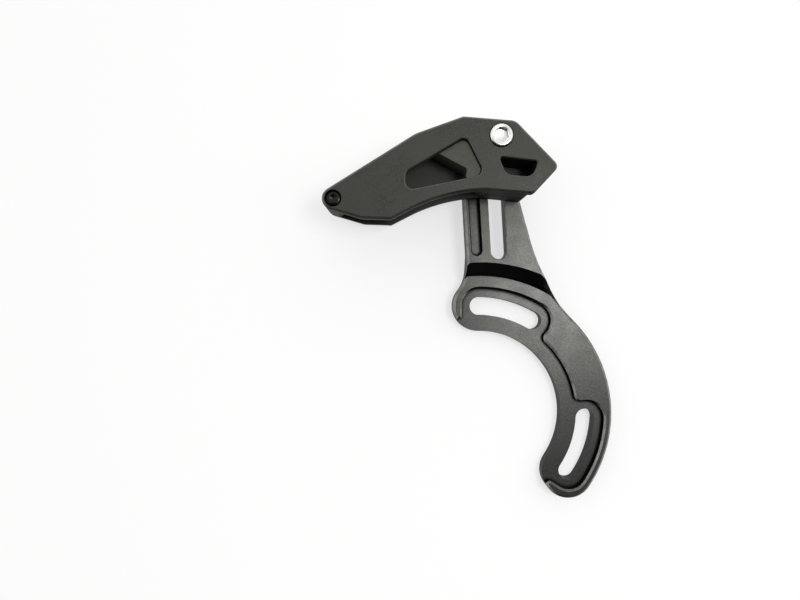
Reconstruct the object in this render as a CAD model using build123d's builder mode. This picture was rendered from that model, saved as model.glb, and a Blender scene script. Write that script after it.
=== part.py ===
from build123d import *
from math import asin, degrees, radians, sqrt, tan
import os

# Bicycle chain guide: a machined backplate with a slotted arm, and a two-piece moulded cage clamped to it.
# Millimetres and degrees. The origin is on the bottom bracket axis, in the plane of the frame's tabs.
# +Z points outboard, away from the frame, and the arm rises along +Y.

# Mounting ring, an open arc round the bottom bracket with two curved bolt slots
bolt_circle_radius = 36.5
ring_width = 17.1
ring_height = 6.7
ring_overrun = 0.7
mount_slot_width = 6.2
mount_slot_span = 30.2
upper_slot_angle = 59.8
lower_slot_angle = -33.2
seat_margin = 2.9
seat_depth = 2.4
seat_strip = 5.0
seat_corner_radius = 2.2
seat_end_radius = 1.0
seat_floor_radius = 0.5
seat_chamfer = 0.6

# Arm, stepped outboard by a conical ramp and leaning a little towards the rear
arm_lean = 3.3
arm_step = 4.3
arm_thickness = 6.0
ramp_land = 1.7
arm_taper = 12.1
arm_head_length = 16.2
arm_head_wall = 3.2
arm_end_wall = 3.0
arm_end_radius = 3.0
arm_foot_radius = 12.0
arm_heel_radius = 60.0
edge_chamfer = 0.8
back_chamfer = 0.4

# Clamp slot and key groove, both parallel to the arm
slot_across = 9.0
slot_width = 5.3
slot_chamfer = 0.25
key_offset = 7.35
key_groove_width = 3.8
key_groove_depth = 2.6
key_floor_radius = 0.8
key_wall = 1.48

# Height setting of the cage along the arm, how far it slides, and the key and tongue that guide it
clamp_height = 88.45
travel_up = 2.0
travel_down = 20.6
end_gap = 0.5
slide_gap = 0.15
key_drop = 12.25
key_length = 13.0
tongue_drop = 13.0
tongue_length = 6.5
tongue_depth = 4.6

# Cage levels
inner_plate = 3.0
channel_width = 10.0
outer_plate = 3.0
skirt_depth = 4.6
skirt_wall = 1.8
seam_gap = 0.12
seam_line = 0.5
front_overhang = 1.4
window_land = 1.5
face_chamfer = 0.6
window_chamfer = 0.35

# Cage outline, measured from the clamp bolt
tip_back = 51.4
tip_drop = 19.2
tip_radius = 3.45
tip_boss_radius = 4.0
brow_back = 26.2
brow_rise = 0.6
crown_back = 11.6
crown_rise = 5.85
shoulder_front = 4.4
shoulder_rise = 4.55
nose_front = 17.8
nose_drop = 9.35
heel_front = 9.9
heel_drop = 17.85
throat_back = 4.6
throat_drop = 16.65
lip_end_back = 28.0
lip_end_drop = 22.65
lip_back = 33.8
lip_drop = 25.65
chin_back = 42.7
chin_drop = 25.35
brow_radius = 10.0
crown_radius = 2.5
shoulder_radius = 3.5
nose_radius = 2.0
heel_radius = 1.5
lip_radius = 0.8
chin_radius = 4.0

# Long window over the chain and small window beside the bolt, measured from the clamp bolt
window_back = 29.3
window_front_back = 4.85
window_front_drop = 11.9
window_back_top = 11.2
window_back_bottom = 16.9
window_peak_back = 10.7
window_peak_drop = 0.2
window_radius = 2.3
port_back = 0.7
port_back_drop = 6.55
port_front = 11.3
port_front_drop = 7.95
port_foot_back = 1.5
port_foot_front = 9.6
port_foot_drop = 12.0
port_foot_slope = 0.7
port_top_radius = 0.7
port_bottom_radius = 3.0

# Chain-side wall of the closed part of the cage, from the brow's slope down to the throat
stop_back = 10.3
stop_drop = 9.9
stop_slope = 28.0
stop_corner_back = 10.8
stop_corner_drop = 12.55
stop_radius = 1.0

# Clamp bolt and its flange nut
bolt_radius = 2.5
bolt_hole_gap = 0.15
bolt_boss_radius = 4.3
bolt_head_radius = 3.55
bolt_head_height = 2.4
bolt_head_round = 0.6
bolt_head_sink = 1.9
bolt_head_gap = 0.15
bolt_socket_width = 4.0
bolt_socket_depth = 1.7
bolt_socket_turn = 30.0
bolt_socket_mouth = 2.6
mouth_angle = 120.0
bolt_end_gap = 0.2
nut_width = 8.0
nut_height = 4.8
nut_flange_radius = 5.4
nut_flange_height = 1.3
nut_corner_angle = 30.0
thread_gap = 0.05

# Tip screw and its captive nut
screw_radius = 1.25
screw_hole_gap = 0.15
screw_head_radius = 2.15
screw_head_height = 1.6
screw_head_round = 1.1
screw_head_sink = 2.0
screw_head_gap = 0.45
screw_socket_width = 1.6
screw_socket_depth = 0.9
tip_nut_width = 4.6
tip_nut_height = 1.8
tip_nut_gap = 0.1

tolerance = 0.01

# Levels, from the frame outwards
seat_level = ring_height - seat_depth
arm_top = ring_height + arm_step
arm_back = arm_top - arm_thickness
channel_floor = arm_top + inner_plate
face_back = channel_floor + channel_width
cage_face = face_back + outer_plate
parting = face_back - skirt_depth

# Radii of the ring and of its ramp
ring_inner_radius = bolt_circle_radius - ring_width / 2
ring_outer_radius = bolt_circle_radius + ring_width / 2
strip_radius = ring_inner_radius + seat_strip
ramp_radius = ring_outer_radius + ramp_land
back_ramp_radius = ramp_radius - ring_height + arm_thickness * sqrt(2)

# Places along and across the arm
slot_head = clamp_height + travel_up + end_gap
slot_foot = clamp_height - tongue_drop - travel_down - end_gap
arm_end = slot_head + slot_width / 2 + arm_end_wall
taper_height = arm_end - arm_head_length
arm_left = slot_across - key_offset - key_groove_width / 2 - key_wall
arm_right = slot_across + slot_width / 2 + arm_head_wall
key_across = slot_across - key_offset
key_width = key_groove_width - 2 * slide_gap
key_foot = clamp_height - key_drop
key_groove_foot = key_foot - travel_down - end_gap
tongue_width = slot_width - 2 * slide_gap
tongue_foot = clamp_height - tongue_drop

# Corners of the cage and of its windows
tip_centre = Vector(-tip_back, -tip_drop)
brow = Vector(-brow_back, brow_rise)
crown = Vector(-crown_back, crown_rise)
shoulder = Vector(shoulder_front, shoulder_rise)
nose = Vector(nose_front, -nose_drop)
heel = Vector(heel_front, -heel_drop)
throat = Vector(-throat_back, -throat_drop)
lip_end = Vector(-lip_end_back, -lip_end_drop)
lip = Vector(-lip_back, -lip_drop)
chin = Vector(-chin_back, -chin_drop)
stop_ledge = Vector(-stop_back, -stop_drop)
stop_corner = Vector(-stop_corner_back, -stop_corner_drop)
window_corners = [
    Vector(-window_back, -window_back_top),
    Vector(-window_back, -window_back_bottom),
    Vector(-window_front_back, -window_front_drop),
    Vector(-window_peak_back, -window_peak_drop),
]
port_corners = [
    Vector(-port_back, -port_back_drop),
    Vector(port_foot_back, -port_foot_drop),
    Vector(port_foot_front, -port_foot_drop - port_foot_slope),
    Vector(port_front, -port_front_drop),
]


def on_arm(across, along):
    """Point of the arm, which leans about the bottom bracket axis."""
    return Vector(across, along).rotate(Axis.Z, arm_lean)


clamp_centre = on_arm(slot_across, clamp_height)


def cage_plane(level):
    """Plane at a level of the cage, with its origin on the clamp bolt's axis."""
    return Plane.XY.offset(level).move(Location(clamp_centre))


def round_corners(sketch, corners):
    """Rounds the sketch's corners that lie at the given points, each by its own radius."""
    for point, radius in corners:
        fillet(sketch.vertices().sort_by_distance(point)[0], radius)


def arm_slot(across, foot, head, width):
    """Draws a round-ended slot that runs along the arm."""
    with Locations(on_arm(across, (foot + head) / 2)):
        SlotCenterToCenter(head - foot, width, rotation=90 + arm_lean)


def slot_line(start, span):
    """Centre line of a curved slot on the bolt circle."""
    return CenterArc((0, 0), bolt_circle_radius, start, span, mode=Mode.PRIVATE)


def edges_along(part, outline, level):
    """Edges of a part that lie at a level, straight above or below an outline."""
    wire = outline.face().outer_wire()
    height = wire.center().Z
    lift = Vector(0, 0, height - level)
    near = part.edges().filter_by_position(Axis.Z, level - tolerance, level + tolerance)
    return [edge for edge in near if wire.distance_to((edge @ 0.5) + lift) < tolerance]


def milled_pocket(outline, depth, floor_radius):
    """Cutter for a pocket, rounded along its foot as a bull-nosed mill leaves it."""
    with BuildPart() as cutter:
        extrude(outline.sketch, amount=depth)
        fillet(cutter.edges().group_by(Axis.Z)[0], floor_radius)
    return cutter.part


def top_corner_on(sketch, centre, radius):
    """Highest corner of a sketch that lies on a circle."""
    corners = [v for v in sketch.vertices() if abs(v.distance_to(centre) - radius) < tolerance]
    return max(corners, key=lambda v: v.Y)


def tip_touch(point, turn):
    """Point where a straight edge from a point touches the round of the tip."""
    reach = tip_centre - point
    swing = degrees(asin(tip_radius / reach.length))
    run = sqrt(reach.length**2 - tip_radius**2)
    return point + reach.normalized().rotate(Axis.Z, turn * swing) * run


def draw_cage_outline(sketch, set_back=0.0):
    """Draws the cage's side outline, with its front edge set back under the face plate if asked."""
    front_nose = nose - Vector(set_back, 0)
    front_heel = heel - Vector(set_back, 0)
    with BuildLine() as outline:
        upper_touch = tip_touch(brow, -1)
        lower_touch = tip_touch(chin, 1)
        Polyline(upper_touch, brow, crown, shoulder, front_nose, front_heel, throat)
        lip_edge = Line(lip, lip_end)
        TangentArc(lip_end, throat, tangent=lip_edge % 1)
        Polyline(lip, chin, lower_touch)
        ThreePointArc(lower_touch, tip_centre - Vector(tip_radius, 0), upper_touch)
    make_face(outline.edges())
    round_corners(
        sketch,
        [
            (brow, brow_radius),
            (crown, crown_radius),
            (shoulder, shoulder_radius),
            (front_nose, nose_radius),
            (front_heel, heel_radius),
            (lip, lip_radius),
            (chin, chin_radius),
        ],
    )


def keep_closed_part():
    """Trims the sketch to the closed part of the cage, to the right of the chain-side wall."""
    far = 2 * (nose - tip_centre).length
    slope = Vector(far, 0).rotate(Axis.Z, -stop_slope)
    exit_run = (throat - stop_corner).normalized() * far
    with BuildSketch() as closed:
        Polygon(
            stop_ledge - slope,
            stop_ledge,
            stop_corner,
            stop_corner + exit_run,
            (far, 0),
            (0, far),
            align=None,
        )
        round_corners(closed, [(stop_ledge, stop_radius), (stop_corner, stop_radius)])
    add(closed.sketch, mode=Mode.INTERSECT)


def draw_tip_boss(sketch):
    """Draws the boss round the tip screw, flush with the outline."""
    draw_cage_outline(sketch)
    with Locations(tip_centre):
        Circle(tip_boss_radius, mode=Mode.INTERSECT)


def draw_window(sketch):
    """Draws the long window."""
    Polygon(*window_corners, align=None)
    round_corners(sketch, [(corner, window_radius) for corner in window_corners])


def draw_port(sketch):
    """Draws the small window, which has a flat top and a rounded bottom."""
    Polygon(*port_corners, align=None)
    radii = (port_top_radius, port_bottom_radius, port_bottom_radius, port_top_radius)
    round_corners(sketch, zip(port_corners, radii))


# Backplate: a dished disc turned about the bottom bracket axis and trimmed to the ring and arm
slot_angles = (lower_slot_angle, upper_slot_angle)
upper_end_angle = upper_slot_angle + mount_slot_span
seat_span = upper_end_angle - lower_slot_angle
ring_start = lower_slot_angle - ring_overrun
ring_span = seat_span + 2 * ring_overrun
ring_middle = Vector(bolt_circle_radius, 0).rotate(Axis.Z, ring_start + ring_span / 2)
ring_end = Vector(bolt_circle_radius, 0).rotate(Axis.Z, ring_start + ring_span)
taper_foot = arm_right + (taper_height - ring_inner_radius) * tan(radians(arm_taper))
seat_width = mount_slot_width + 2 * seat_margin

with BuildPart() as backplate:
    with BuildSketch(Plane.XZ):
        with BuildLine():
            Polyline(
                (0, 0),
                (back_ramp_radius, 0),
                (back_ramp_radius + arm_back, arm_back),
                (2 * arm_end, arm_back),
                (2 * arm_end, arm_top),
                (ramp_radius + arm_step, arm_top),
                (ramp_radius, ring_height),
                (0, ring_height),
                close=True,
            )
        make_face()
    revolve(axis=Axis.Z)

    with BuildSketch() as plate_outline:
        SlotArc(slot_line(ring_start, ring_span), ring_width)
        Polygon(
            on_arm(arm_left, bolt_circle_radius),
            on_arm(arm_left, arm_end),
            on_arm(arm_right, arm_end),
            on_arm(arm_right, taper_height),
            on_arm(taper_foot, ring_inner_radius),
            align=None,
        )
        fillet(top_corner_on(plate_outline, (0, 0), ring_outer_radius), arm_heel_radius)
        fillet(top_corner_on(plate_outline, ring_end, ring_width / 2), arm_foot_radius)
        arm_ends = [on_arm(arm_left, arm_end), on_arm(arm_right, arm_end)]
        round_corners(plate_outline, [(corner, arm_end_radius) for corner in arm_ends])
    extrude(amount=arm_top, mode=Mode.INTERSECT)

    for level in (arm_top, ring_height):
        chamfer(edges_along(backplate, plate_outline, level), edge_chamfer)
    for level in (0, arm_back):
        chamfer(edges_along(backplate, plate_outline, level), back_chamfer)

    # Lowered seat for the mounting bolts, open towards the bottom bracket
    with BuildSketch(Plane.XY.offset(seat_level)) as seat:
        for angle in slot_angles:
            SlotArc(slot_line(angle, mount_slot_span), seat_width)
        Circle(strip_radius)
        for angle in (lower_slot_angle, upper_end_angle):
            with PolarLocations(bolt_circle_radius - ring_width / 2, 1, angle):
                Rectangle(ring_width, seat_width)
        corners = seat.vertices().filter_by(lambda v: abs(v.distance_to((0, 0)) - strip_radius) < tolerance)
        corners = corners.sort_by_distance(ring_middle)
        radii = (seat_corner_radius, seat_corner_radius, seat_end_radius, seat_end_radius)
        round_corners(seat, zip(corners, radii))
    add(milled_pocket(seat, seat_depth, seat_floor_radius), mode=Mode.SUBTRACT)
    chamfer(edges_along(backplate, seat, ring_height), seat_chamfer)

    with BuildSketch():
        for angle in slot_angles:
            SlotArc(slot_line(angle, mount_slot_span), mount_slot_width)
    extrude(amount=ring_height, mode=Mode.SUBTRACT)

    with BuildSketch() as clamp_slot:
        arm_slot(slot_across, slot_foot, slot_head, slot_width)
    extrude(amount=arm_top, mode=Mode.SUBTRACT)
    chamfer(edges_along(backplate, clamp_slot, arm_top), slot_chamfer)

    with BuildSketch(Plane.XY.offset(arm_top - key_groove_depth)) as key_groove:
        arm_slot(key_across, key_groove_foot, arm_end + key_groove_width, key_groove_width)
    add(milled_pocket(key_groove, key_groove_depth, key_floor_radius), mode=Mode.SUBTRACT)

# Inner half of the cage: a plate on the arm, with the closed part's core, a tongue in the slot and a key
with BuildPart() as inner_cage:
    with BuildSketch(cage_plane(arm_top)) as inner_outline:
        draw_cage_outline(inner_outline, front_overhang)
    extrude(amount=inner_plate)
    chamfer(edges_along(inner_cage, inner_outline.sketch, arm_top), face_chamfer)

    with BuildSketch(cage_plane(channel_floor)) as block:
        draw_cage_outline(block, front_overhang)
        keep_closed_part()
    extrude(amount=parting - seam_line - channel_floor)
    with BuildSketch(cage_plane(parting - seam_line)) as core:
        draw_cage_outline(core, front_overhang)
        offset(amount=-skirt_wall - seam_gap)
        keep_closed_part()
        Circle(bolt_boss_radius + seam_gap, mode=Mode.SUBTRACT)
    extrude(amount=skirt_depth + seam_line)
    with BuildSketch(cage_plane(face_back)) as land:
        draw_window(land)
        offset(amount=-seam_gap)
        keep_closed_part()
    extrude(amount=window_land)
    with BuildSketch(cage_plane(channel_floor)) as inner_tip:
        draw_tip_boss(inner_tip)
    extrude(amount=parting - channel_floor)

    with BuildSketch(cage_plane(channel_floor)) as port_pocket:
        draw_port(port_pocket)
        offset(amount=seam_gap)
    extrude(amount=channel_width, mode=Mode.SUBTRACT)

    with BuildSketch(Plane.XY.offset(arm_top)):
        arm_slot(slot_across, tongue_foot, tongue_foot + tongue_length, tongue_width)
    extrude(amount=-tongue_depth)
    with BuildSketch(Plane.XY.offset(arm_top)):
        arm_slot(key_across, key_foot, key_foot + key_length, key_width)
    extrude(amount=end_gap - key_groove_depth)

    with Locations(cage_plane(parting)):
        Hole(bolt_radius + bolt_hole_gap)
        with Locations(tip_centre):
            Hole(screw_radius + screw_hole_gap)
    with BuildSketch(cage_plane(arm_top)):
        with Locations(tip_centre):
            RegularPolygon(tip_nut_width / 2 + tip_nut_gap, 6, major_radius=False)
    extrude(amount=tip_nut_height + tip_nut_gap, mode=Mode.SUBTRACT)

# Outer half of the cage: a face plate with a skirt round the closed part, and bosses for the bolt and screw
with BuildPart() as outer_cage:
    with BuildSketch(cage_plane(face_back)) as face_outline:
        draw_cage_outline(face_outline)
    extrude(amount=outer_plate)
    chamfer(edges_along(outer_cage, face_outline.sketch, cage_face), face_chamfer)

    with BuildSketch(cage_plane(parting)) as skirt:
        draw_cage_outline(skirt, front_overhang)
        offset(amount=-skirt_wall, mode=Mode.SUBTRACT)
        keep_closed_part()
        Circle(bolt_boss_radius)
    extrude(amount=skirt_depth)
    with BuildSketch(cage_plane(parting)) as outer_tip:
        draw_tip_boss(outer_tip)
    extrude(amount=skirt_depth)

    with BuildSketch(cage_plane(face_back)) as windows:
        draw_window(windows)
    extrude(amount=outer_plate, mode=Mode.SUBTRACT)
    chamfer(edges_along(outer_cage, windows.sketch, cage_face), window_chamfer)
    with BuildSketch(cage_plane(face_back)) as port:
        draw_port(port)
    extrude(amount=outer_plate, mode=Mode.SUBTRACT)
    chamfer(edges_along(outer_cage, port.sketch, cage_face), window_chamfer)

    with Locations(cage_plane(cage_face)):
        CounterBoreHole(bolt_radius + bolt_hole_gap, bolt_head_radius + bolt_head_gap, bolt_head_sink)
        with Locations(tip_centre):
            head_pocket = screw_head_radius + screw_head_gap
            CounterBoreHole(screw_radius + screw_hole_gap, head_pocket, screw_head_sink)

# Clamp bolt, from the face of the cage through the arm's slot
bolt_seat = cage_face - bolt_head_sink
nut_base = arm_back - nut_height
with BuildPart() as clamp_bolt:
    with BuildSketch(cage_plane(bolt_seat)):
        Circle(bolt_head_radius)
    extrude(amount=bolt_head_height)
    fillet(clamp_bolt.edges().group_by(Axis.Z)[-1], bolt_head_round)
    with BuildSketch(cage_plane(bolt_seat)):
        Circle(bolt_radius)
    extrude(amount=nut_base + bolt_end_gap - bolt_seat)
    chamfer(clamp_bolt.edges().group_by(Axis.Z)[0], bolt_radius / 4)
    with BuildSketch(cage_plane(bolt_seat + bolt_head_height)):
        RegularPolygon(bolt_socket_width / 2, 6, major_radius=False, rotation=bolt_socket_turn)
    extrude(amount=-bolt_socket_depth, mode=Mode.SUBTRACT)
    with Locations(cage_plane(bolt_seat + bolt_head_height)):
        CounterSinkHole(bolt_socket_width / 2, bolt_socket_mouth, bolt_socket_depth, mouth_angle)

# Flange nut behind the arm
with BuildPart() as clamp_nut:
    with BuildSketch(cage_plane(nut_base)):
        RegularPolygon(nut_width / 2, 6, major_radius=False)
    extrude(amount=nut_height)
    nut_spread = nut_width / 2 + nut_height / tan(radians(nut_corner_angle))
    with Locations(cage_plane(nut_base)):
        Cone(
            nut_width / 2,
            nut_spread,
            nut_height,
            align=(Align.CENTER, Align.CENTER, Align.MIN),
            mode=Mode.INTERSECT,
        )
    with BuildSketch(cage_plane(arm_back - nut_flange_height)):
        Circle(nut_flange_radius)
    extrude(amount=nut_flange_height)
    with Locations(cage_plane(nut_base)):
        Hole(bolt_radius + thread_gap)

# Tip screw and the nut that it draws into the inner half
screw_seat = cage_face - screw_head_sink
with BuildPart() as tip_screw:
    with BuildSketch(cage_plane(screw_seat)):
        with Locations(tip_centre):
            Circle(screw_head_radius)
    extrude(amount=screw_head_height)
    fillet(tip_screw.edges().group_by(Axis.Z)[-1], screw_head_round)
    with BuildSketch(cage_plane(screw_seat)):
        with Locations(tip_centre):
            Circle(screw_radius)
    extrude(amount=arm_top - screw_seat)
    with BuildSketch(cage_plane(screw_seat + screw_head_height)):
        with Locations(tip_centre):
            RegularPolygon(screw_socket_width / 2, 6, major_radius=False)
    extrude(amount=-screw_socket_depth, mode=Mode.SUBTRACT)

with BuildPart() as tip_nut:
    with BuildSketch(cage_plane(arm_top + tip_nut_gap)):
        with Locations(tip_centre):
            RegularPolygon(tip_nut_width / 2, 6, major_radius=False)
            Circle(screw_radius + thread_gap, mode=Mode.SUBTRACT)
    extrude(amount=tip_nut_height)

pieces = {
    "backplate": backplate,
    "inner_cage": inner_cage,
    "outer_cage": outer_cage,
    "clamp_bolt": clamp_bolt,
    "clamp_nut": clamp_nut,
    "tip_screw": tip_screw,
    "tip_nut": tip_nut,
}
os.makedirs("parts", exist_ok=True)
for name, piece in pieces.items():
    piece.part.label = name
    export_step(piece.part, f"parts/{name}.step")
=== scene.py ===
import math

import bpy
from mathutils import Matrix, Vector


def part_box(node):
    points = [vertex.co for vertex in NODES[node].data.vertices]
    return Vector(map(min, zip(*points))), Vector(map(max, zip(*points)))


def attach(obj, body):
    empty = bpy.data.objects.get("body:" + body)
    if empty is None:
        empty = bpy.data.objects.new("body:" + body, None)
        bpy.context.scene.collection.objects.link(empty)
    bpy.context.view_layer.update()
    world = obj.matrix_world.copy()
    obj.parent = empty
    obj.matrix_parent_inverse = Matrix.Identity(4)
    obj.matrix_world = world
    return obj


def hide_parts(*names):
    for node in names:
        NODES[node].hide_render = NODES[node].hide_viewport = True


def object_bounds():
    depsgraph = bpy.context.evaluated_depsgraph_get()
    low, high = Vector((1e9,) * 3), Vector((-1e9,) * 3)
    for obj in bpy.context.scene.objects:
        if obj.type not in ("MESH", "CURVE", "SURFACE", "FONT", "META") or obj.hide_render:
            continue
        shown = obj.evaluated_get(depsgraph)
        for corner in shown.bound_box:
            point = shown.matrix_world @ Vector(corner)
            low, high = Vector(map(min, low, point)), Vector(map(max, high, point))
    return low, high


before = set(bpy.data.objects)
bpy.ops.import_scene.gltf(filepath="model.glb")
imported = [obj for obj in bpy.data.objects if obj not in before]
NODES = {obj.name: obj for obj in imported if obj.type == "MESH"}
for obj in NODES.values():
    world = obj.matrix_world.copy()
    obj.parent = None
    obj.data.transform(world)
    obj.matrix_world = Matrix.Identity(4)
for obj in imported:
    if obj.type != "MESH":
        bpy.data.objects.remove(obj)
cad_low, cad_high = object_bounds()

MM = 0.001

# Where the picture was taken from: straight above the part, close to it, with a wide lens
CAMERA_PLACE = Vector((-27.05, 38.55, 203.0)) * MM
CAMERA_LENS = 26.0
CAMERA_SENSOR = 36.0
CAMERA_NEAR = 5 * MM

# Axes that turned pieces and their finishes are centred on
bolt_low, bolt_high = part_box("clamp_bolt")
BOLT_AXIS = (bolt_low + bolt_high) / 2
screw_low, screw_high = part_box("tip_screw")
SCREW_AXIS = (screw_low + screw_high) / 2


def deselect_all():
    bpy.ops.object.select_all(action="DESELECT")


# Shared effects, each a node group

# The grain is turned off the axes, so that no flat face lies along its grid
GRAIN_TURN = (math.radians(29), math.radians(20), 0)
# How far a face leans is told by the height of its normal: 1 lies flat, 0 stands upright
SLOPE_NOT_WALL = (0.25, 0.5)
SLOPE_NOT_FLAT = (0.97, 0.88)
WALL_NOT_SLOPE = (0.45, 0.2)
# At an outer edge the solid is thin: rays sent into it soon meet another face
EDGE_THINNESS = (0.985, 0.92)
# Chips follow a noise, and leave at least this share of an edge's brightness
CHIP_SPAN = (0.3, 0.6)
CHIP_LEAST = 0.6
# Edge brightening is partly wear and partly a painted highlight: edges that face down the part get none
# and stay dark as in shade, and those that face up it get less
UNLIT_EDGE_SIDE = (-0.65, -0.45)
DIMMER_EDGE_SIDE = (0.25, 0.6)
# An inner corner, sheltered by the wall or floor beside it, gets painted shade
CORNER_SHADE_SPAN = (0.95, 0.6)
CORNER_SHADE_REACH = 1.4 * MM
# Rays that look for edges and corners, and rays that round the light on sharp edges
EDGE_RAYS = 12
ROUNDING_RAYS = 6
# Noise runs mostly between these two values
NOISE_SPAN = (0.3, 0.7)


def ranged(nodes, span, low=0.0, high=1.0):
    """Adds a node that takes one span of values to another, and stops at its ends."""
    node = nodes.new("ShaderNodeMapRange")
    node.inputs["From Min"].default_value = span[0]
    node.inputs["From Max"].default_value = span[1]
    node.inputs["To Min"].default_value = low
    node.inputs["To Max"].default_value = high
    return node


def new_group(name, inputs, outputs):
    """Starts a shader node group with named inputs, each with its value, and named outputs."""
    group = bpy.data.node_groups.new(name, "ShaderNodeTree")
    for label, kind, value in inputs:
        socket = group.interface.new_socket(label, in_out="INPUT", socket_type=kind)
        socket.default_value = value
    for label, kind in outputs:
        group.interface.new_socket(label, in_out="OUTPUT", socket_type=kind)
    entry = group.nodes.new("NodeGroupInput")
    leave = group.nodes.new("NodeGroupOutput")
    return group, entry, leave


def fine_grain_group():
    """Fine grain, as blasting or a spark-eroded mould leaves it, with small specks and broad patches."""
    group, entry, leave = new_group(
        "fine_grain",
        [
            ("Scale", "NodeSocketFloat", 2000.0),
            ("Speck Scale", "NodeSocketFloat", 2900.0),
            ("Patch Scale", "NodeSocketFloat", 120.0),
        ],
        [("Height", "NodeSocketFloat"), ("Specks", "NodeSocketFloat"), ("Patches", "NodeSocketFloat")],
    )
    place = group.nodes.new("ShaderNodeTexCoord")
    askew = group.nodes.new("ShaderNodeMapping")
    askew.inputs["Rotation"].default_value = GRAIN_TURN
    grain = group.nodes.new("ShaderNodeTexNoise")
    grain.inputs["Detail"].default_value = 2.0
    specks = group.nodes.new("ShaderNodeTexNoise")
    specks.inputs["Detail"].default_value = 1.0
    patches = group.nodes.new("ShaderNodeTexNoise")
    patches.inputs["Detail"].default_value = 4.0
    group.links.new(place.outputs["Object"], askew.inputs["Vector"])
    group.links.new(askew.outputs["Vector"], grain.inputs["Vector"])
    group.links.new(askew.outputs["Vector"], specks.inputs["Vector"])
    group.links.new(askew.outputs["Vector"], patches.inputs["Vector"])
    group.links.new(entry.outputs["Scale"], grain.inputs["Scale"])
    group.links.new(entry.outputs["Speck Scale"], specks.inputs["Scale"])
    group.links.new(entry.outputs["Patch Scale"], patches.inputs["Scale"])
    group.links.new(grain.outputs["Fac"], leave.inputs["Height"])
    group.links.new(specks.outputs["Fac"], leave.inputs["Specks"])
    group.links.new(patches.outputs["Fac"], leave.inputs["Patches"])
    return group


def cut_slope_group():
    """Masks of the faces cut at a slope, of those that break an outer edge, and of the walls."""
    group, entry, leave = new_group(
        "cut_slope",
        [
            ("Reach", "NodeSocketFloat", 1.3 * MM),
            ("Chip Scale", "NodeSocketFloat", 500.0),
            ("Upper Share", "NodeSocketFloat", 1.0),
        ],
        [("Slope", "NodeSocketFloat"), ("Edge", "NodeSocketFloat"), ("Wall", "NodeSocketFloat")],
    )
    face = group.nodes.new("ShaderNodeNewGeometry")
    tilt = group.nodes.new("ShaderNodeSeparateXYZ")
    upright = group.nodes.new("ShaderNodeMath")
    upright.operation = "ABSOLUTE"
    steep = ranged(group.nodes, SLOPE_NOT_WALL)
    level = ranged(group.nodes, SLOPE_NOT_FLAT)
    wall = ranged(group.nodes, WALL_NOT_SLOPE)
    thin = group.nodes.new("ShaderNodeAmbientOcclusion")
    thin.inside = True
    thin.only_local = True
    thin.samples = EDGE_RAYS
    outer = ranged(group.nodes, EDGE_THINNESS)
    place = group.nodes.new("ShaderNodeTexCoord")
    chips = group.nodes.new("ShaderNodeTexNoise")
    chips.inputs["Detail"].default_value = 3.0
    worn = ranged(group.nodes, CHIP_SPAN, low=CHIP_LEAST)
    # Sides that decide where the wear and painted highlight on edges go, and where edges stay dark as in
    # shade
    open_side = ranged(group.nodes, UNLIT_EDGE_SIDE)
    upper_side = ranged(group.nodes, DIMMER_EDGE_SIDE, low=1.0)
    products = [group.nodes.new("ShaderNodeMath") for step in range(5)]
    for product in products:
        product.operation = "MULTIPLY"
    slope, outer_slope, worn_slope, open_slope, edge = products
    group.links.new(face.outputs["True Normal"], tilt.inputs["Vector"])
    group.links.new(tilt.outputs["Z"], upright.inputs[0])
    group.links.new(upright.outputs["Value"], steep.inputs["Value"])
    group.links.new(upright.outputs["Value"], level.inputs["Value"])
    group.links.new(upright.outputs["Value"], wall.inputs["Value"])
    group.links.new(entry.outputs["Reach"], thin.inputs["Distance"])
    group.links.new(thin.outputs["AO"], outer.inputs["Value"])
    group.links.new(place.outputs["Object"], chips.inputs["Vector"])
    group.links.new(entry.outputs["Chip Scale"], chips.inputs["Scale"])
    group.links.new(chips.outputs["Fac"], worn.inputs["Value"])
    group.links.new(steep.outputs["Result"], slope.inputs[0])
    group.links.new(level.outputs["Result"], slope.inputs[1])
    group.links.new(slope.outputs["Value"], outer_slope.inputs[0])
    group.links.new(outer.outputs["Result"], outer_slope.inputs[1])
    group.links.new(outer_slope.outputs["Value"], worn_slope.inputs[0])
    group.links.new(worn.outputs["Result"], worn_slope.inputs[1])
    group.links.new(tilt.outputs["Y"], open_side.inputs["Value"])
    group.links.new(worn_slope.outputs["Value"], open_slope.inputs[0])
    group.links.new(open_side.outputs["Result"], open_slope.inputs[1])
    group.links.new(tilt.outputs["Y"], upper_side.inputs["Value"])
    group.links.new(entry.outputs["Upper Share"], upper_side.inputs["To Max"])
    group.links.new(open_slope.outputs["Value"], edge.inputs[0])
    group.links.new(upper_side.outputs["Result"], edge.inputs[1])
    group.links.new(slope.outputs["Value"], leave.inputs["Slope"])
    group.links.new(edge.outputs["Value"], leave.inputs["Edge"])
    group.links.new(wall.outputs["Result"], leave.inputs["Wall"])
    return group


FINE_GRAIN = fine_grain_group()
CUT_SLOPE = cut_slope_group()


# Materials

# Alloy of the backplate, as colours, roughness and share of metal
ALLOY_DARK = (0.034, 0.0345, 0.032)
ALLOY_LIGHT = (0.061, 0.0615, 0.058)
ALLOY_WALL = (0.038, 0.038, 0.040)
# Painted shade in the inner corners
ALLOY_CORNER_SHADE = (0.008, 0.008, 0.008)
# Painted shade on the sloped faces
ALLOY_SLOPE_SHADE = (0.012, 0.012, 0.012)
# Edges lightened, partly by wear and partly with a painted highlight
ALLOY_EDGE_WEAR_AND_HIGHLIGHT = (0.34, 0.34, 0.33)
ALLOY_SHEEN = (0.74, 0.74, 0.76, 1)
ALLOY_FLAT_ROUGH = (0.30, 0.36)
ALLOY_WALL_ROUGH = 0.45
ALLOY_EDGE_ROUGH = 0.5
ALLOY_EDGE_METAL = 0.45
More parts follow.
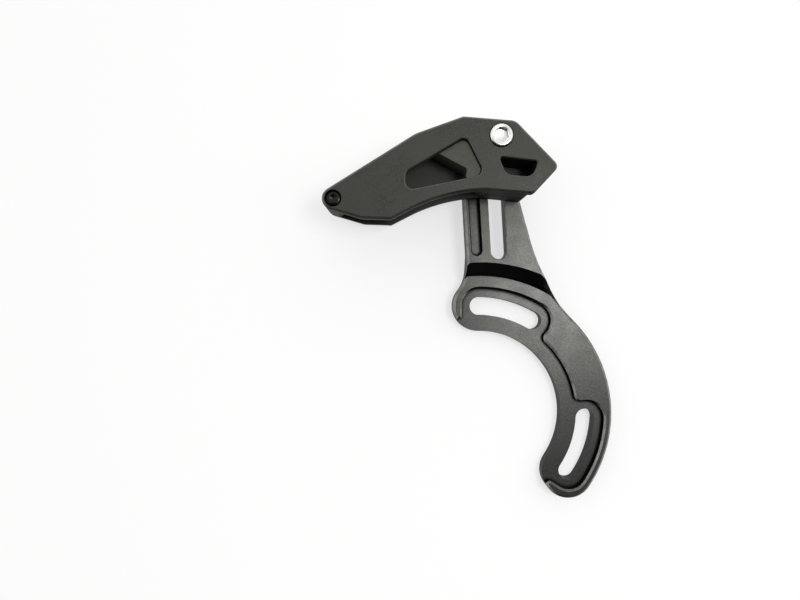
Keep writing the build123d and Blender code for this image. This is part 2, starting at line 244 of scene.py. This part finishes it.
# Steel of the fasteners, whose edges, partly worn and partly given a painted highlight, are lighter by a
# gain, up to a limit
EDGE_WEAR_AND_HIGHLIGHT_GAIN = 2
EDGE_WEAR_AND_HIGHLIGHT_LIMIT = 0.95
TURNED_RING_SCALE = 700.0
# Nylon of the cage, as colours and roughness
NYLON_DARK = (0.0, 0.0, 0.0)
NYLON_LIGHT = (0.026, 0.0262, 0.0210)
NYLON_SPECK = (0.024, 0.0242, 0.0194)
# Painted shade on the walls
NYLON_WALL_SHADE = (0.004, 0.004, 0.0035)
# Edges lightened, partly by wear and partly with a painted highlight
NYLON_EDGE_WEAR_AND_HIGHLIGHT = (0.09, 0.09, 0.078)
NYLON_SHEEN = (0.98, 1.0, 0.91, 1)
NYLON_SHEEN_LEVEL = 0.42
NYLON_FLAT_ROUGH = (0.40, 0.54)
NYLON_WALL_ROUGH = 0.7


def new_material(name):
    material = bpy.data.materials.new(name)
    material.use_nodes = True
    return material, material.node_tree.nodes, material.node_tree.links


def place_group(nodes, group, **values):
    """Places a shared effect in a material, with this material's own values."""
    node = nodes.new("ShaderNodeGroup")
    node.node_tree = group
    for label, value in values.items():
        node.inputs[label.replace("_", " ")].default_value = value
    return node


def colour_mix(nodes, links, mask, under, over):
    """Mixes two colours by a mask; the lower one is a colour or another mix."""
    mix = nodes.new("ShaderNodeMix")
    mix.data_type = "RGBA"
    if isinstance(under, tuple):
        mix.inputs["A"].default_value = (*under, 1)
    else:
        links.new(under.outputs["Result"], mix.inputs["A"])
    mix.inputs["B"].default_value = (*over, 1)
    links.new(mask, mix.inputs["Factor"])
    return mix


def value_range(nodes, links, source, low, high):
    """Spreads a noise between two values."""
    spread = ranged(nodes, NOISE_SPAN, low, high)
    links.new(source, spread.inputs["Value"])
    return spread


def value_mix(nodes, links, mask, under, over):
    """Mixes a changing value with a set one by a mask."""
    mix = nodes.new("ShaderNodeMix")
    mix.inputs["B"].default_value = over
    links.new(under.outputs["Result"], mix.inputs["A"])
    links.new(mask, mix.inputs["Factor"])
    return mix


def grain_bump(nodes, links, shader, height, strength, distance, edge_round):
    """Raises the grain on the surface, and softens the light on edges that were left sharp."""
    bump = nodes.new("ShaderNodeBump")
    edges = nodes.new("ShaderNodeBevel")
    edges.samples = ROUNDING_RAYS
    edges.inputs["Radius"].default_value = edge_round
    links.new(edges.outputs["Normal"], bump.inputs["Normal"])
    bump.inputs["Strength"].default_value = strength
    bump.inputs["Distance"].default_value = distance
    links.new(height, bump.inputs["Height"])
    links.new(bump.outputs["Normal"], shader.inputs["Normal"])


def corner_shade_mask(nodes, links):
    """Mask of the inner corners, where a floor meets a wall, which get painted shade."""
    shelter = nodes.new("ShaderNodeAmbientOcclusion")
    shelter.only_local = True
    shelter.samples = EDGE_RAYS
    shelter.inputs["Distance"].default_value = CORNER_SHADE_REACH
    corner = ranged(nodes, CORNER_SHADE_SPAN)
    links.new(shelter.outputs["AO"], corner.inputs["Value"])
    return corner


def anodised_alloy():
    """Bead-blasted aluminium, anodised with black dye: dull walls, painted shade in its corners and on
    its slopes, edges worn bright with a painted highlight.
    """
    material, nodes, links = new_material("black_anodised_alloy")
    shader = nodes["Principled BSDF"]
    shader.inputs["Specular Tint"].default_value = ALLOY_SHEEN
    grain = place_group(nodes, FINE_GRAIN, Scale=3600.0, Patch_Scale=160.0)
    cut = place_group(nodes, CUT_SLOPE, Upper_Share=0.5)
    speckle = value_range(nodes, links, grain.outputs["Specks"], 0.0, 1.0)
    body = colour_mix(nodes, links, speckle.outputs["Result"], ALLOY_DARK, ALLOY_LIGHT)
    walls = colour_mix(nodes, links, cut.outputs["Wall"], body, ALLOY_WALL)
    corner = corner_shade_mask(nodes, links)
    # Painted shade: the inner corners are darkened where shade falls
    shaded = colour_mix(nodes, links, corner.outputs["Result"], walls, ALLOY_CORNER_SHADE)
    # Painted shade: sloped faces, the ramp among them, are darkened as if turned from the light
    slope_shaded = colour_mix(nodes, links, cut.outputs["Slope"], shaded, ALLOY_SLOPE_SHADE)
    # Edges lightened, partly by wear and partly with a painted highlight
    bright = colour_mix(nodes, links, cut.outputs["Edge"], slope_shaded, ALLOY_EDGE_WEAR_AND_HIGHLIGHT)
    links.new(bright.outputs["Result"], shader.inputs["Base Color"])
    flat_rough = value_range(nodes, links, grain.outputs["Patches"], *ALLOY_FLAT_ROUGH)
    wall_rough = value_mix(nodes, links, cut.outputs["Wall"], flat_rough, ALLOY_WALL_ROUGH)
    rough = value_mix(nodes, links, cut.outputs["Edge"], wall_rough, ALLOY_EDGE_ROUGH)
    links.new(rough.outputs["Result"], shader.inputs["Roughness"])
    frosted = ranged(nodes, (0.0, 1.0), low=1.0, high=ALLOY_EDGE_METAL)
    links.new(cut.outputs["Edge"], frosted.inputs["Value"])
    links.new(frosted.outputs["Result"], shader.inputs["Metallic"])
    height = grain.outputs["Height"]
    grain_bump(nodes, links, shader, height, strength=0.3, distance=0.03 * MM, edge_round=0.12 * MM)
    return material


def turned_rings(nodes, links, axis):
    """Fine rings round an upright axis, as a lathe tool leaves them."""
    place = nodes.new("ShaderNodeTexCoord")
    centre = nodes.new("ShaderNodeMapping")
    centre.inputs["Location"].default_value = (-axis.x, -axis.y, 0)
    rings = nodes.new("ShaderNodeTexWave")
    rings.wave_type = "RINGS"
    rings.rings_direction = "Z"
    rings.inputs["Scale"].default_value = TURNED_RING_SCALE
    rings.inputs["Distortion"].default_value = 1.5
    rings.inputs["Detail"].default_value = 2.0
    links.new(place.outputs["Object"], centre.inputs["Vector"])
    links.new(centre.outputs["Vector"], rings.inputs["Vector"])
    return rings


def satin_steel(name, dark, light, roughness, axis):
    """Turned fastener steel, with fine rings and edges lightened by wear and a painted highlight."""
    material, nodes, links = new_material(name)
    shader = nodes["Principled BSDF"]
    shader.inputs["Metallic"].default_value = 1.0
    grain = place_group(nodes, FINE_GRAIN, Scale=3000.0, Patch_Scale=500.0)
    cut = place_group(nodes, CUT_SLOPE, Reach=0.6 * MM)
    body = colour_mix(nodes, links, grain.outputs["Patches"], dark, light)
    # Edges lightened, partly by wear and partly with a painted highlight
    edge_wear_and_highlight_colour = tuple(min(EDGE_WEAR_AND_HIGHLIGHT_LIMIT, EDGE_WEAR_AND_HIGHLIGHT_GAIN * part) for part in light)
    worn_and_lit_edges = colour_mix(nodes, links, cut.outputs["Edge"], body, edge_wear_and_highlight_colour)
    links.new(worn_and_lit_edges.outputs["Result"], shader.inputs["Base Color"])
    rough = value_range(nodes, links, grain.outputs["Patches"], *roughness)
    links.new(rough.outputs["Result"], shader.inputs["Roughness"])
    height = turned_rings(nodes, links, axis).outputs["Fac"]
    grain_bump(nodes, links, shader, height, strength=0.3, distance=0.02 * MM, edge_round=0.08 * MM)
    return material


def moulded_nylon(name):
    """Glass-filled nylon with a fine mould grain and small flecks, duller on its walls and darker there
    with painted shade; its edges are lighter, partly by wear and partly with a painted highlight.
    """
    material, nodes, links = new_material(name)
    shader = nodes["Principled BSDF"]
    shader.inputs["Specular Tint"].default_value = NYLON_SHEEN
    shader.inputs["Specular IOR Level"].default_value = NYLON_SHEEN_LEVEL
    grain = place_group(nodes, FINE_GRAIN, Scale=2600.0, Speck_Scale=1800.0, Patch_Scale=110.0)
    cut = place_group(nodes, CUT_SLOPE, Reach=1.2 * MM)
    patches = value_range(nodes, links, grain.outputs["Patches"], 0.0, 1.0)
    body = colour_mix(nodes, links, patches.outputs["Result"], NYLON_DARK, NYLON_LIGHT)
    specks = value_range(nodes, links, grain.outputs["Specks"], 0.0, 1.0)
    flecked = colour_mix(nodes, links, specks.outputs["Result"], body, NYLON_SPECK)
    # Painted shade: walls are darkened as if turned from the light
    walls = colour_mix(nodes, links, cut.outputs["Wall"], flecked, NYLON_WALL_SHADE)
    # Edges lightened, partly by wear and partly with a painted highlight
    edges = colour_mix(nodes, links, cut.outputs["Edge"], walls, NYLON_EDGE_WEAR_AND_HIGHLIGHT)
    links.new(edges.outputs["Result"], shader.inputs["Base Color"])
    flat_rough = value_range(nodes, links, grain.outputs["Patches"], *NYLON_FLAT_ROUGH)
    rough = value_mix(nodes, links, cut.outputs["Wall"], flat_rough, NYLON_WALL_ROUGH)
    links.new(rough.outputs["Result"], shader.inputs["Roughness"])
    height = grain.outputs["Height"]
    grain_bump(nodes, links, shader, height, strength=0.4, distance=0.04 * MM, edge_round=0.3 * MM)
    return material, edges


def shade_by_height(material, base_colour, deep, high, deep_level, high_level):
    """Paints shade on a nylon low in the cage, and paints it lighter high up, where a window leaves it
    open to the light.
    """
    nodes, links = material.node_tree.nodes, material.node_tree.links
    shader = nodes["Principled BSDF"]
    place = nodes.new("ShaderNodeTexCoord")
    height = nodes.new("ShaderNodeSeparateXYZ")
    open_air = ranged(nodes, (deep_level, high_level))
    tint = nodes.new("ShaderNodeMix")
    tint.data_type = "RGBA"
    tint.inputs["A"].default_value = (*deep, 1)
    tint.inputs["B"].default_value = (*high, 1)
    # Painted shade low down and painted light high up, multiplied into the colour
    lit_and_shaded = nodes.new("ShaderNodeMix")
    lit_and_shaded.data_type = "RGBA"
    lit_and_shaded.blend_type = "MULTIPLY"
    lit_and_shaded.inputs["Factor"].default_value = 1.0
    links.new(place.outputs["Object"], height.inputs["Vector"])
    links.new(height.outputs["Z"], open_air.inputs["Value"])
    links.new(open_air.outputs["Result"], tint.inputs["Factor"])
    links.new(base_colour.outputs["Result"], lit_and_shaded.inputs["A"])
    links.new(tint.outputs["Result"], lit_and_shaded.inputs["B"])
    links.new(lit_and_shaded.outputs["Result"], shader.inputs["Base Color"])


def dress(node, material):
    mesh = NODES[node].data
    mesh.materials.clear()
    mesh.materials.append(material)


black_alloy = anodised_alloy()
bright_steel = satin_steel(
    "bright_steel",
    dark=(0.50, 0.50, 0.485),
    light=(0.66, 0.66, 0.64),
    roughness=(0.22, 0.32),
    axis=BOLT_AXIS,
)
black_steel = satin_steel(
    "blackened_steel",
    dark=(0.011, 0.011, 0.0105),
    light=(0.022, 0.022, 0.021),
    roughness=(0.20, 0.30),
    axis=SCREW_AXIS,
)
face_nylon = moulded_nylon("face_nylon")[0]
core_nylon, core_colour = moulded_nylon("core_nylon")
# Painted shade deep in the core, and painted light high up under the window
shade_by_height(
    core_nylon,
    core_colour,
    deep=(0.2, 0.2, 0.2),
    high=(1.9, 1.9, 1.8),
    deep_level=16 * MM,
    high_level=22 * MM,
)

dress("backplate", black_alloy)
dress("inner_cage", core_nylon)
dress("outer_cage", face_nylon)


# Fasteners: the clamp's bolt and flange nut, and the tip's screw and nut

BOLT_RADIUS = 2.5 * MM
BOLT_PITCH = 0.8 * MM
BOLT_HEAD_RADIUS = 3.55 * MM
BOLT_HEAD_HEIGHT = 2.4 * MM
BOLT_HEAD_ROUND = 0.6 * MM
BOLT_HEAD_PRESS = 1.0
BOLT_SOCKET = 4.0 * MM
BOLT_SOCKET_MOUTH = 2.85 * MM
BOLT_SOCKET_DEPTH = 1.7 * MM
BOLT_SOCKET_POINT = 0.35 * MM
BOLT_SOCKET_TURN = math.radians(14)
NUT_WIDTH = 8.0 * MM
NUT_FLANGE_RADIUS = 5.4 * MM
NUT_FLANGE_HEIGHT = 1.3 * MM
NUT_TURN = math.radians(30)
SCREW_RADIUS = 1.25 * MM
SCREW_PITCH = 0.45 * MM
SCREW_HEAD_RADIUS = 2.35 * MM
SCREW_HEAD_HEIGHT = 1.6 * MM
SCREW_HEAD_ROUND = 1.1 * MM
SCREW_HEAD_PRESS = 0.45
SCREW_SOCKET = 2.0 * MM
SCREW_SOCKET_MOUTH = 1.2 * MM
SCREW_SOCKET_DEPTH = 0.6 * MM
SCREW_SOCKET_POINT = 0.5 * MM
SCREW_SOCKET_TURN = 0.0
TIP_NUT_WIDTH = 4.6 * MM
BORE_GAP = 0.05 * MM
# Shares of a thread's pitch
THREAD_DEPTH = 0.6134
THREAD_FLANK = 0.375
THREAD_LAND = 0.125
# Steps in one turn of thread, and turns wound past each end
THREAD_STEPS = 32
THREAD_SPARE_TURNS = 2
# Share of a shank's radius that is broken off round its end
SHANK_END_BREAK = 0.25
ROUND_SIDES = 64
HEAD_ROUND_STEPS = 6
FLANGE_ROUND_STEPS = 4
CORNER_SLOPE = math.tan(math.radians(60))
HEX_CORNER = 1 / math.cos(math.radians(30))
# How far cutting shapes run past what they cut
SPARE = 0.3 * MM
SOCKET_SPARE = 1.0 * MM
# Points nearer to each other than this are one point
WELD = 0.001 * MM
# A face looks down where its normal is lower than this
FACES_DOWN = -0.9
SMOOTH_ANGLE = math.radians(35)


def upright_bar(axis, radius, low, high, sides=ROUND_SIDES, turn=0.0):
    """Adds an upright bar between two levels, with its place in its mesh."""
    deselect_all()
    middle = (axis.x, axis.y, (low + high) / 2)
    bpy.ops.mesh.primitive_cylinder_add(
        vertices=sides, radius=radius, depth=high - low, location=middle, rotation=(0, 0, turn)
    )
    bpy.ops.object.transform_apply(location=True, rotation=True, scale=True)
    return bpy.context.object


def upright_cone(axis, low, low_radius, high, high_radius):
    """Adds an upright cone or its stump between two levels."""
    deselect_all()
    middle = (axis.x, axis.y, (low + high) / 2)
    bpy.ops.mesh.primitive_cone_add(
        vertices=ROUND_SIDES, radius1=low_radius, radius2=high_radius, depth=high - low, location=middle
    )
    bpy.ops.object.transform_apply(location=True, rotation=True, scale=True)
    return bpy.context.object


def clear_selection(kind):
    """Leaves nothing selected in the active mesh, ready for edges or faces to be picked."""
    bpy.ops.object.mode_set(mode="EDIT")
    bpy.ops.mesh.select_mode(type=kind)
    bpy.ops.mesh.select_all(action="DESELECT")
    bpy.ops.object.mode_set(mode="OBJECT")


def break_rim(bar, level, width, segments):
    """Bevels the rim of a bar at one level."""
    clear_selection("EDGE")
    points = bar.data.vertices
    for edge in bar.data.edges:
        edge.select = all(abs(points[end].co.z - level) < WELD for end in edge.vertices)
    bpy.ops.object.mode_set(mode="EDIT")
    bpy.ops.mesh.bevel(offset=width, segments=segments, affect="EDGES")
    bpy.ops.object.mode_set(mode="OBJECT")


def press_crown(head, axis, level, share):
    """Presses the crown of a head down towards the level where its round begins."""
    clear_selection("VERT")
    for point in head.data.vertices:
        point.select = point.co.z > level + WELD
    bpy.ops.object.mode_set(mode="EDIT")
    bpy.ops.transform.resize(value=(1, 1, share), center_override=(axis.x, axis.y, level))
    bpy.ops.object.mode_set(mode="OBJECT")


def combine(piece, tool, operation):
    """Joins a piece with another, cuts it or trims it, and uses the other up."""
    change = piece.modifiers.new(operation.lower(), "BOOLEAN")
    change.operation = operation
    change.object = tool
    deselect_all()
    piece.select_set(True)
    bpy.context.view_layer.objects.active = piece
    bpy.ops.object.modifier_apply(modifier=change.name)
    bpy.data.objects.remove(tool)


def wind_thread(axis, radius, pitch, low, high):
    """Winds a thread: one tooth drawn from a point, wound up the axis and cut level at both ends."""
    depth = THREAD_DEPTH * pitch
    flank = THREAD_FLANK * pitch
    land = THREAD_LAND * pitch
    start = low - THREAD_SPARE_TURNS * pitch
    tooth = ((depth, 0, flank), (0, 0, land), (-depth, 0, flank), (0, 0, land))
    deselect_all()
    bpy.ops.mesh.primitive_plane_add(size=pitch, location=(axis.x, axis.y, start))
    thread = bpy.context.object
    bpy.ops.object.mode_set(mode="EDIT")
    bpy.ops.mesh.select_mode(type="VERT")
    bpy.ops.mesh.select_all(action="SELECT")
    bpy.ops.mesh.merge(type="CENTER")
    bpy.ops.transform.translate(value=(radius - depth, 0, 0))
    for step in tooth:
        bpy.ops.mesh.extrude_vertices_move(TRANSFORM_OT_translate={"value": step})
    bpy.ops.object.mode_set(mode="OBJECT")
    wind = thread.modifiers.new("wind", "SCREW")
    wind.axis = "Z"
    wind.screw_offset = pitch
    wind.iterations = math.ceil((high - low) / pitch) + 2 * THREAD_SPARE_TURNS
    wind.steps = THREAD_STEPS
    wind.render_steps = THREAD_STEPS
    bpy.ops.object.modifier_apply(modifier=wind.name)
    bpy.ops.object.transform_apply(location=True, rotation=True, scale=True)
    bpy.ops.object.mode_set(mode="EDIT")
    bpy.ops.mesh.select_all(action="SELECT")
    bpy.ops.mesh.remove_doubles(threshold=WELD)
    bpy.ops.mesh.bisect(plane_co=(0, 0, low), plane_no=(0, 0, 1), use_fill=True, clear_inner=True)
    bpy.ops.mesh.select_all(action="SELECT")
    bpy.ops.mesh.bisect(plane_co=(0, 0, high), plane_no=(0, 0, 1), use_fill=True, clear_outer=True)
    bpy.ops.mesh.select_all(action="SELECT")
    bpy.ops.mesh.normals_make_consistent(inside=False)
    bpy.ops.object.mode_set(mode="OBJECT")
    return thread


def key_socket(axis, flats, floor, high, point, turn):
    """Six-sided key's outline that runs down to a drilled point."""
    key = upright_bar(axis, flats / 2 * HEX_CORNER, floor, high + SOCKET_SPARE, sides=6, turn=turn)
    clear_selection("FACE")
    for face in key.data.polygons:
        face.select = face.normal.z < FACES_DOWN
    bpy.ops.object.mode_set(mode="EDIT")
    bpy.ops.mesh.extrude_region_move(TRANSFORM_OT_translate={"value": (0, 0, -point)})
    bpy.ops.mesh.merge(type="CENTER")
    bpy.ops.object.mode_set(mode="OBJECT")
    return key


def socket_screw(node, shank, pitch, head, socket):
    """Round-headed screw with a wound thread, a broken end and a key socket with a countersunk mouth."""
    low_corner, high_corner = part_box(node)
    axis = (low_corner + high_corner) / 2
    low, high = low_corner.z, high_corner.z
    head_radius, head_height, head_round, head_press = head
    flats, mouth, socket_depth, socket_point, turn = socket
    seat = high - head_height
    rod = upright_bar(axis, shank + SPARE, low, seat + SPARE)
    break_rim(rod, low, SHANK_END_BREAK * shank + SPARE, 1)
    thread = wind_thread(axis, shank, pitch, low - pitch / 2, seat + SPARE + pitch / 2)
    combine(rod, thread, "INTERSECT")
    crown = high + head_round * (1 - head_press)
    screw = upright_bar(axis, head_radius, seat, crown)
    break_rim(screw, crown, head_round, HEAD_ROUND_STEPS)
    press_crown(screw, axis, crown - head_round, head_press)
    combine(screw, rod, "UNION")
    key = key_socket(axis, flats, high - socket_depth, high, socket_point, turn)
    combine(screw, key, "DIFFERENCE")
    mouth_foot = high - (mouth - flats / 2) / CORNER_SLOPE
    mouth_top = mouth + SPARE * CORNER_SLOPE
    countersink = upright_cone(axis, mouth_foot, flats / 2, high + SPARE, mouth_top)
    combine(screw, countersink, "DIFFERENCE")
    return screw


def hex_nut(node, flats, bore, flange_radius=0.0, flange_height=0.0):
    """Six-sided nut with broken corners and a countersunk bore, on a flange where it has one."""
    low_corner, high_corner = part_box(node)
    axis = (low_corner + high_corner) / 2
    low, high = low_corner.z, high_corner.z
    top = high - flange_height / 2
    nut = upright_bar(axis, flats / 2 * HEX_CORNER, low, top, sides=6, turn=NUT_TURN)
    waist = flats / 2 - SPARE * CORNER_SLOPE
    spread = flats / 2 + (top + SPARE - low) * CORNER_SLOPE
    combine(nut, upright_cone(axis, low - SPARE, waist, top + SPARE, spread), "INTERSECT")
    if flange_height:
        flange = upright_bar(axis, flange_radius, high - flange_height, high)
        break_rim(flange, high - flange_height, flange_height / 2, FLANGE_ROUND_STEPS)
        combine(nut, flange, "UNION")
    combine(nut, upright_bar(axis, bore, low - SPARE, high + SPARE), "DIFFERENCE")
    mouth = bore + 2 * SPARE
    combine(nut, upright_cone(axis, low - SPARE, mouth, low + SPARE, bore), "DIFFERENCE")
    return nut


def fit_piece(piece, node, material):
    """Closes a fastener's mesh, shades it and puts it on the cage in place of its plain solid."""
    bpy.ops.object.mode_set(mode="EDIT")
    bpy.ops.mesh.select_all(action="SELECT")
    bpy.ops.mesh.remove_doubles(threshold=WELD)
    bpy.ops.mesh.dissolve_degenerate(threshold=WELD)
    bpy.ops.mesh.normals_make_consistent(inside=False)
    bpy.ops.object.mode_set(mode="OBJECT")
    bpy.ops.object.shade_smooth_by_angle(angle=SMOOTH_ANGLE)
    even = piece.modifiers.new("even", "WEIGHTED_NORMAL")
    even.keep_sharp = True
    bpy.ops.object.modifier_apply(modifier=even.name)
    piece.name = node + "_threaded"
    piece.data.materials.clear()
    piece.data.materials.append(material)
    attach(piece, "cage")
    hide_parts(node)


bolt = socket_screw(
    "clamp_bolt",
    BOLT_RADIUS,
    BOLT_PITCH,
    (BOLT_HEAD_RADIUS, BOLT_HEAD_HEIGHT, BOLT_HEAD_ROUND, BOLT_HEAD_PRESS),
    (BOLT_SOCKET, BOLT_SOCKET_MOUTH, BOLT_SOCKET_DEPTH, BOLT_SOCKET_POINT, BOLT_SOCKET_TURN),
)
fit_piece(bolt, "clamp_bolt", bright_steel)
flange_nut = hex_nut(
    "clamp_nut", NUT_WIDTH, BOLT_RADIUS + BORE_GAP, NUT_FLANGE_RADIUS, NUT_FLANGE_HEIGHT
)
fit_piece(flange_nut, "clamp_nut", bright_steel)
screw = socket_screw(
    "tip_screw",
    SCREW_RADIUS,
    SCREW_PITCH,
    (SCREW_HEAD_RADIUS, SCREW_HEAD_HEIGHT, SCREW_HEAD_ROUND, SCREW_HEAD_PRESS),
    (SCREW_SOCKET, SCREW_SOCKET_MOUTH, SCREW_SOCKET_DEPTH, SCREW_SOCKET_POINT, SCREW_SOCKET_TURN),
)
fit_piece(screw, "tip_screw", black_steel)
captive_nut = hex_nut("tip_nut", TIP_NUT_WIDTH, SCREW_RADIUS + BORE_GAP)
fit_piece(captive_nut, "tip_nut", black_steel)


# Studio

FLOOR_SIZE = 6.0
FLOOR_WHITE = (0.95, 0.95, 0.95, 1)
# Share of plain white that the camera and the metal see in the floor, over its lit colour
FLOOR_GLOW = 0.6
# The sky fades out towards the lower side of the picture
SKY_FADE = (-0.60, 0.05)
SKY_LEVEL = 1.15
SKY_SHADE_TINT = (0.78, 0.94, 1.0, 1)
SKY_TINT = (1, 1, 0.98, 1)
KEY_LIGHT_PLACE = (0.185, 0.06, 0.6)
KEY_LIGHT_AIM = Vector((0, 0.04, 0))
KEY_LIGHT_SIZE = 0.16
KEY_LIGHT_POWER = 1.25
DARK_LENS_RADIUS = 0.075
DARK_LENS_SHIFT = Vector((0, -0.03, 0.01))
DARK_LENS_GREY = (0.05, 0.05, 0.05, 1)
DARK_LENS_SIDES = 48


def make_floor():
    """White table that shows almost plain white and keeps a soft shadow of the part."""
    deselect_all()
    bpy.ops.mesh.primitive_plane_add(size=FLOOR_SIZE, location=(0, 0, cad_low.z))
    floor = bpy.context.object
    floor.name = "floor"
    material, nodes, links = new_material("white_table")
    output = nodes["Material Output"]
    nodes.remove(nodes["Principled BSDF"])
    paper = nodes.new("ShaderNodeBsdfDiffuse")
    paper.inputs["Color"].default_value = FLOOR_WHITE
    glow = nodes.new("ShaderNodeEmission")
    path = nodes.new("ShaderNodeLightPath")
    seen = nodes.new("ShaderNodeMath")
    seen.operation = "MAXIMUM"
    share = nodes.new("ShaderNodeMath")
    share.operation = "MULTIPLY"
    share.inputs[1].default_value = FLOOR_GLOW
    mix = nodes.new("ShaderNodeMixShader")
    links.new(path.outputs["Is Camera Ray"], seen.inputs[0])
    links.new(path.outputs["Is Glossy Ray"], seen.inputs[1])
    links.new(seen.outputs["Value"], share.inputs[0])
    links.new(share.outputs["Value"], mix.inputs["Fac"])
    links.new(paper.outputs["BSDF"], mix.inputs[1])
    links.new(glow.outputs["Emission"], mix.inputs[2])
    links.new(mix.outputs["Shader"], output.inputs["Surface"])
    floor.data.materials.append(material)


def make_sky():
    """White light from all round, fading out on the side that the ramp and the cage's underside face."""
    world = bpy.data.worlds.new("studio")
    world.use_nodes = True
    bpy.context.scene.world = world
    nodes, links = world.node_tree.nodes, world.node_tree.links
    sky = nodes["Background"]
    direction = nodes.new("ShaderNodeTexCoord")
    parts = nodes.new("ShaderNodeSeparateXYZ")
    fade = ranged(nodes, SKY_FADE, high=SKY_LEVEL)
    fade.interpolation_type = "SMOOTHSTEP"
    path = nodes.new("ShaderNodeLightPath")
    level = nodes.new("ShaderNodeMix")
    level.inputs["B"].default_value = 1.0
    tint = nodes.new("ShaderNodeMix")
    tint.data_type = "RGBA"
    tint.inputs["A"].default_value = SKY_SHADE_TINT
    tint.inputs["B"].default_value = SKY_TINT
    shown = nodes.new("ShaderNodeMix")
    shown.data_type = "RGBA"
    shown.inputs["B"].default_value = (1, 1, 1, 1)
    links.new(direction.outputs["Generated"], parts.inputs["Vector"])
    links.new(parts.outputs["Y"], fade.inputs["Value"])
    links.new(fade.outputs["Result"], level.inputs["A"])
    links.new(path.outputs["Is Camera Ray"], level.inputs["Factor"])
    links.new(level.outputs["Result"], sky.inputs["Strength"])
    links.new(fade.outputs["Result"], tint.inputs["Factor"])
    links.new(tint.outputs["Result"], shown.inputs["A"])
    links.new(path.outputs["Is Camera Ray"], shown.inputs["Factor"])
    links.new(shown.outputs["Result"], sky.inputs["Color"])


def make_key_light():
    """Soft lamp high on the right, whose sheen lies on the ring below the arm."""
    deselect_all()
    bpy.ops.object.light_add(type="AREA", location=KEY_LIGHT_PLACE)
    key = bpy.context.object
    key.name = "key_light"
    key.data.size = KEY_LIGHT_SIZE
    key.data.energy = KEY_LIGHT_POWER
    key.rotation_euler = (KEY_LIGHT_AIM - key.location).to_track_quat("-Z", "Y").to_euler()


def make_dark_lens():
    """Dark disc round the camera, which the flat faces below it mirror."""
    deselect_all()
    bpy.ops.mesh.primitive_circle_add(
        vertices=DARK_LENS_SIDES,
        radius=DARK_LENS_RADIUS,
        fill_type="NGON",
        location=CAMERA_PLACE + DARK_LENS_SHIFT,
    )
    lens = bpy.context.object
    lens.name = "dark_lens"
    material, nodes = new_material("black_lens")[:2]
    shader = nodes["Principled BSDF"]
    shader.inputs["Base Color"].default_value = DARK_LENS_GREY
    shader.inputs["Roughness"].default_value = 1.0
    lens.data.materials.append(material)
    lens.visible_camera = False
    lens.visible_diffuse = False
    lens.visible_shadow = False


def make_camera():
    deselect_all()
    bpy.ops.object.camera_add(location=CAMERA_PLACE, rotation=(0, 0, 0))
    camera = bpy.context.object
    camera.data.lens = CAMERA_LENS
    camera.data.sensor_width = CAMERA_SENSOR
    camera.data.clip_start = CAMERA_NEAR
    bpy.context.scene.camera = camera


make_floor()
make_sky()
make_key_light()
make_dark_lens()
make_camera()
bpy.context.scene.view_settings.view_transform = "Standard"
